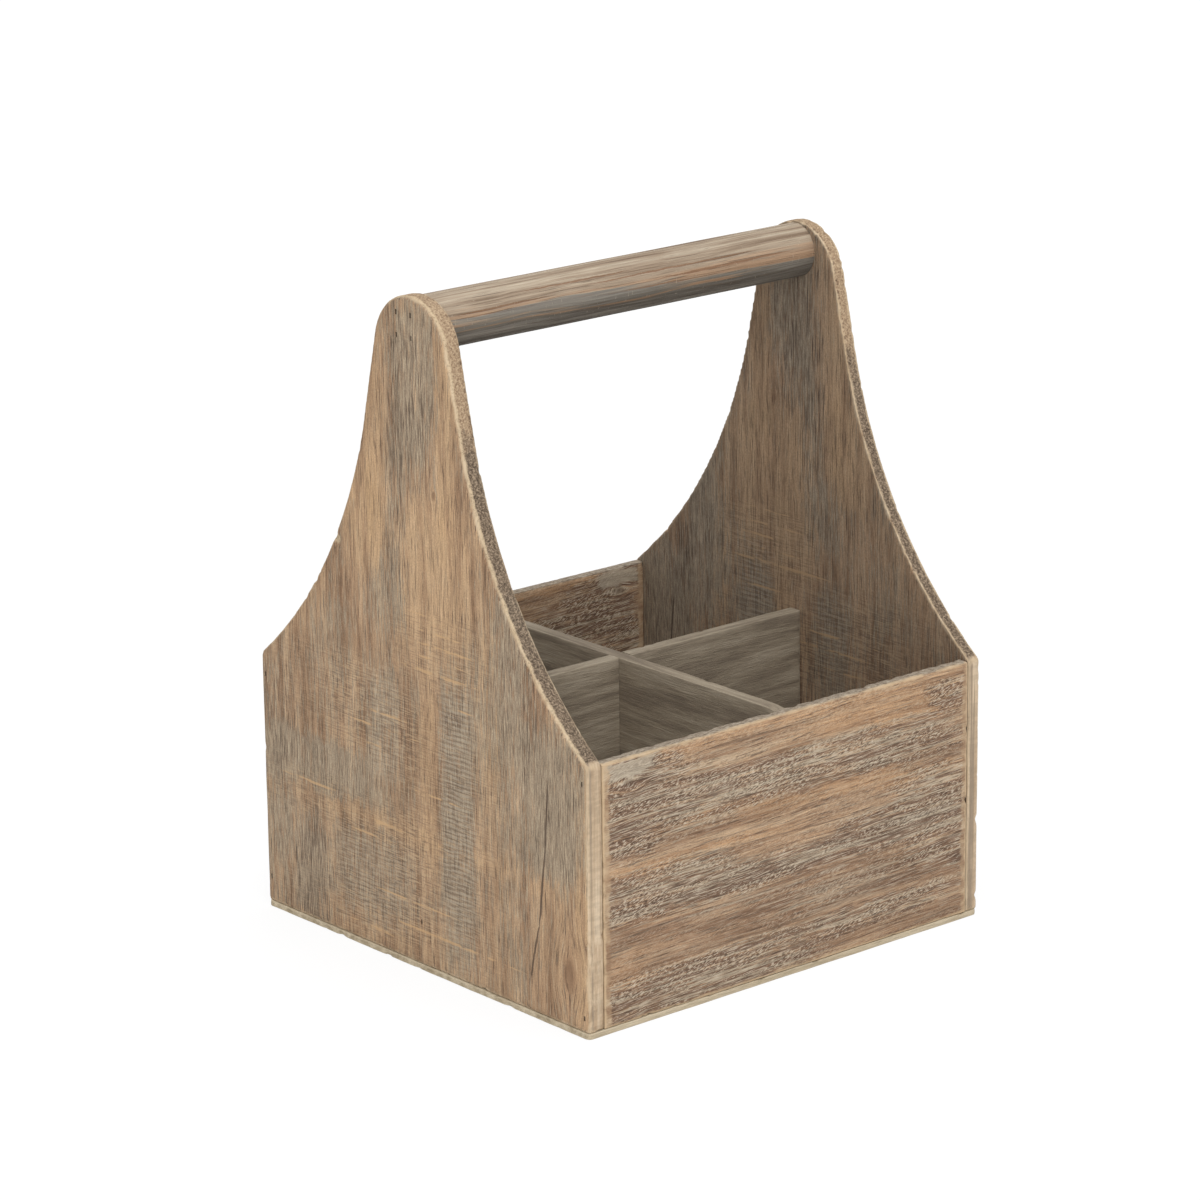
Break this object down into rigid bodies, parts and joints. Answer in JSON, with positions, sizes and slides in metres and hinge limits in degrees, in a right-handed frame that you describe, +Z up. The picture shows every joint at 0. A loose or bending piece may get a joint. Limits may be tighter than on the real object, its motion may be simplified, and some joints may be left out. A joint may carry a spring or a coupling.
{
  "type": "bottle caddy",
  "caption": "Open wooden bottle caddy: shaped end boards, low front and back panels, crossed dividers that part it into cells, and a round rod handle.",
  "frame": {"origin": "centre of the base board's underside, on the surface that the caddy stands on", "axes": "+X along the handle from the left gable to the right one, +Y from the front panel to the rear panel, +Z up"},
  "size_m": [0.233, 0.228, 0.3065],
  "materials": {
    "gable_wood": "brushed and weathered, upright grain, worn arrises",
    "panel_wood": "brushed and weathered, level grain, worn arrises",
    "handle_wood": "sanded and weathered, grain lengthwise",
    "divider_wood": "plain thin board, dull grey beige",
    "base_wood": "pale thin board, sawn",
    "brad_steel": "dull, darkened"
  },
  "bodies": {
    "root": {"base_board": "base_wood", "base_brads_front": "brad_steel", "base_brads_left": "brad_steel", "base_brads_rear": "brad_steel", "base_brads_right": "brad_steel", "corner_brads_front_left": "brad_steel", "corner_brads_front_right": "brad_steel", "corner_brads_rear_left": "brad_steel", "corner_brads_rear_right": "brad_steel", "cross_divider": "divider_wood", "divider_brads_left": "brad_steel", "divider_brads_right": "brad_steel", "front_panel": "panel_wood", "gable_left": "gable_wood", "gable_right": "gable_wood", "handle": "handle_wood", "handle_brads_left": "brad_steel", "handle_brads_right": "brad_steel", "long_divider": "divider_wood", "rear_panel": "panel_wood"}
  },
  "joints": []
}
